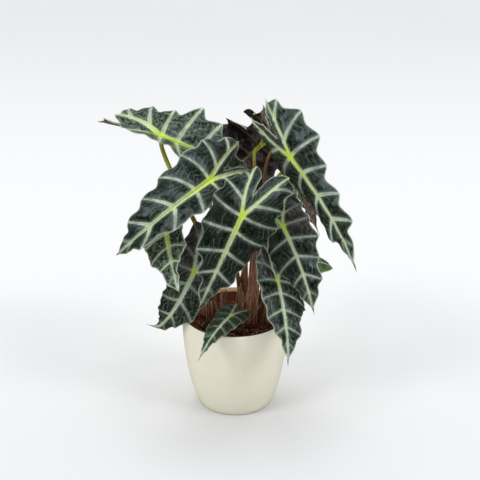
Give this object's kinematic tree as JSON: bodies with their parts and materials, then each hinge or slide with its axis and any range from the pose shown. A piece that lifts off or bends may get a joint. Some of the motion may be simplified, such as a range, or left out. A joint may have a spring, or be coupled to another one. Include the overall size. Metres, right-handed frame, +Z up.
{
  "type": "potted polly alocasia",
  "caption": "Potted plant with arrow-shaped, scalloped leaves on arching stalks, its growing pot standing in a smooth tapered cover pot.",
  "frame": {"origin": "centre of the cover pot's flat underside", "axes": "+Z up along the pot's axis, +X to the viewer's right, +Y away from the viewer of the picture"},
  "size_m": [0.3191, 0.3198, 0.419],
  "materials": {
    "cover_pot": "smooth satin cream plastic",
    "growing_pot": "thin terracotta-coloured moulded plastic",
    "soil": "damp dark peat with reddish fibres",
    "leaf": "glossy dark green with broad silvery veins, pale margin, dark purple underside",
    "stalk": "smooth, yellow-green above turning reddish brown at the foot",
    "sheath": "dry reddish-brown fibrous sheath",
    "rolled_leaf": "smooth green rolled leaf"
  },
  "bodies": {
    "root": {"cover_pot": "cover_pot", "growing_pot": "growing_pot", "soil": "soil", "leaf_01_blade": "leaf", "leaf_01_stalk": "stalk", "leaf_02_blade": "leaf", "leaf_02_stalk": "stalk", "leaf_03_blade": "leaf", "leaf_03_stalk": "stalk", "leaf_04_blade": "leaf", "leaf_04_stalk": "stalk", "leaf_05_blade": "leaf", "leaf_05_stalk": "stalk", "leaf_06_blade": "leaf", "leaf_06_stalk": "stalk", "leaf_07_blade": "leaf", "leaf_07_stalk": "stalk", "leaf_08_blade": "leaf", "leaf_08_stalk": "stalk", "leaf_09_blade": "leaf", "leaf_09_stalk": "stalk", "leaf_10_blade": "leaf", "leaf_10_stalk": "stalk", "leaf_11_blade": "leaf", "leaf_11_stalk": "stalk", "leaf_12_blade": "leaf", "leaf_12_stalk": "stalk", "sheath_front_tall": "sheath", "sheath_back_left": "sheath", "sheath_right": "sheath", "sheath_front_left": "sheath", "sheath_far_left": "sheath", "sheath_left": "sheath", "sheath_mid_left": "sheath", "rolled_leaf": "rolled_leaf"}
  },
  "joints": []
}
